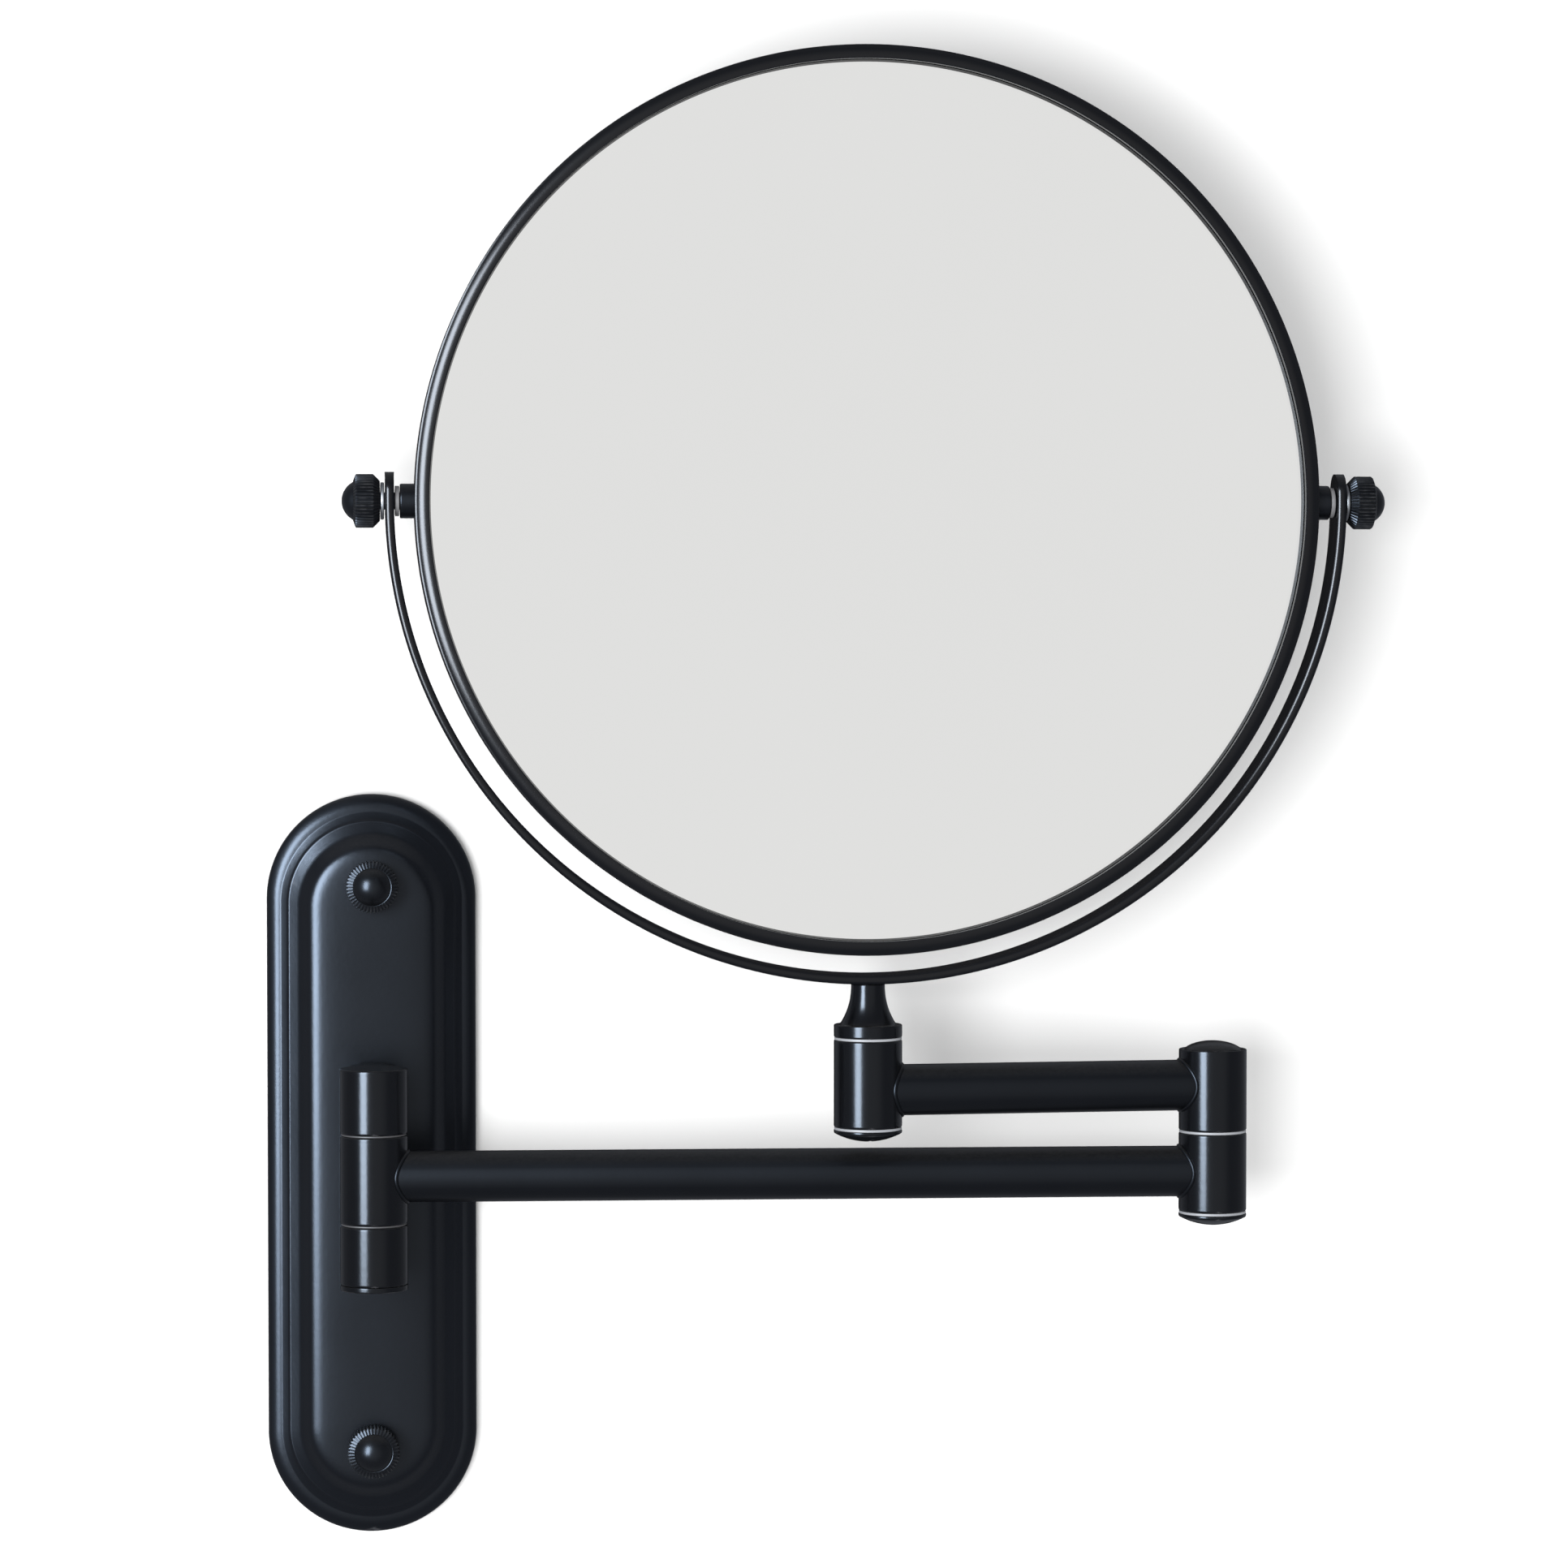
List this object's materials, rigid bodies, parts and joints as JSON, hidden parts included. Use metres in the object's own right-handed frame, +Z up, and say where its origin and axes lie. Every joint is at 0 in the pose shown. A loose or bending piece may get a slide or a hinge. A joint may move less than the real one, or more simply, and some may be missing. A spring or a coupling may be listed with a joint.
{
  "type": "extendable shaving mirror",
  "caption": "Wall-mounted round shaving mirror that tilts in a half-round yoke on folding tube arms hinged to an oblong stepped wall plate.",
  "frame": {"origin": "middle of the back of the mounting bar, in the plane of the wall", "axes": "+Y into the wall, +Z up, +X to the right of a person who faces the mirror"},
  "size_m": [0.2623, 0.0547, 0.3529],
  "materials": {
    "black_paint": "semi-gloss black powder coat",
    "steel": "zinc-plated",
    "nylon": "off-white nylon",
    "grey_plastic": "dark acetal",
    "mirror_glass": "silvered glass"
  },
  "bodies": {
    "wall_mount": {"mounting_bar": "steel", "wall_plate": "black_paint", "hinge_bracket": "black_paint", "upper_stud": "steel", "lower_stud": "steel", "upper_dome_nut": "black_paint", "lower_dome_nut": "black_paint", "upper_bracket_screw": "steel", "lower_bracket_screw": "steel", "upper_hinge_washer": "grey_plastic", "lower_hinge_washer": "grey_plastic", "hinge_bolt": "black_paint"},
    "long_arm": {"long_arm_hinge_barrel": "black_paint", "hinge_bush": "nylon", "long_arm_tube": "black_paint", "long_arm_elbow_barrel": "black_paint", "elbow_bush": "nylon"},
    "short_arm": {"short_arm_elbow_barrel": "black_paint", "elbow_cap": "black_paint", "elbow_upper_washer": "nylon", "elbow_lower_washer": "nylon", "elbow_bolt": "black_paint", "short_arm_tube": "black_paint", "short_arm_stem_barrel": "black_paint", "stem_bush": "nylon"},
    "yoke": {"swivel_stem": "black_paint", "stem_upper_washer": "nylon", "stem_lower_washer": "nylon", "stem_bolt": "black_paint", "yoke_strip": "black_paint", "yoke_screw": "steel", "left_inner_washer": "nylon", "right_inner_washer": "nylon", "left_outer_washer": "steel", "right_outer_washer": "steel"},
    "mirror": {"mirror_ring": "black_paint", "plain_mirror": "mirror_glass", "magnifying_mirror": "mirror_glass", "spacer_ring": "grey_plastic", "left_pivot_boss": "black_paint", "right_pivot_boss": "black_paint"},
    "left_knob": {"left_pivot_knob": "black_paint"},
    "right_knob": {"right_pivot_knob": "black_paint"}
  },
  "joints": [
    {"name": "long_arm_swing", "type": "hinge", "parent": "wall_mount", "child": "long_arm", "pos_m": [0, -0.034, 0], "axis": [0, 0, 1], "range_deg": [-182, 6]},
    {"name": "short_arm_swing", "type": "hinge", "parent": "long_arm", "child": "short_arm", "pos_m": [0.19788, -0.04091, 0.02], "axis": [0, 0, 1], "continuous": true},
    {"name": "mirror_swivel", "type": "hinge", "parent": "short_arm", "child": "yoke", "pos_m": [0.11508, -0.0467, 0.03], "axis": [0, 0, 1], "continuous": true},
    {"name": "mirror_tilt", "type": "hinge", "parent": "yoke", "child": "mirror", "pos_m": [0.11508, -0.0467, 0.1584], "axis": [1, 0, 0], "continuous": true},
    {"name": "left_knob_turn", "type": "hinge", "parent": "mirror", "child": "left_knob", "pos_m": [-0.00092, -0.0467, 0.1584], "axis": [-1, 0, 0], "range_deg": [0, 180]},
    {"name": "right_knob_turn", "type": "hinge", "parent": "mirror", "child": "right_knob", "pos_m": [0.23108, -0.0467, 0.1584], "axis": [1, 0, 0], "range_deg": [0, 180]}
  ]
}
